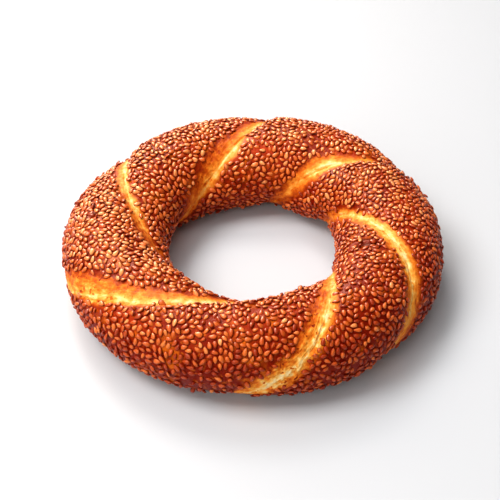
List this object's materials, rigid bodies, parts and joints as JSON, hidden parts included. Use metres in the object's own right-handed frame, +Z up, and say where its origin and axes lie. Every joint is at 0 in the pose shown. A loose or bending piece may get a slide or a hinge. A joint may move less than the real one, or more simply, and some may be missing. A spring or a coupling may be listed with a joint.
{
  "type": "simit",
  "caption": "Ring of bread twisted from two strands of dough, with seams winding over its crown, a flat foot and a coat of sesame.",
  "frame": {"origin": "on the surface the ring rests on, at the middle of the ring's plan", "axes": "+Z up, +Y to the back of the ring, +X to its right"},
  "size_m": [0.1504, 0.1466, 0.0338],
  "materials": {
    "crust": "glazed red-brown bread crust, paler dough in the seams",
    "sesame": "toasted sesame seed, semi-gloss"
  },
  "bodies": {
    "root": {"simit": "crust"}
  },
  "joints": []
}
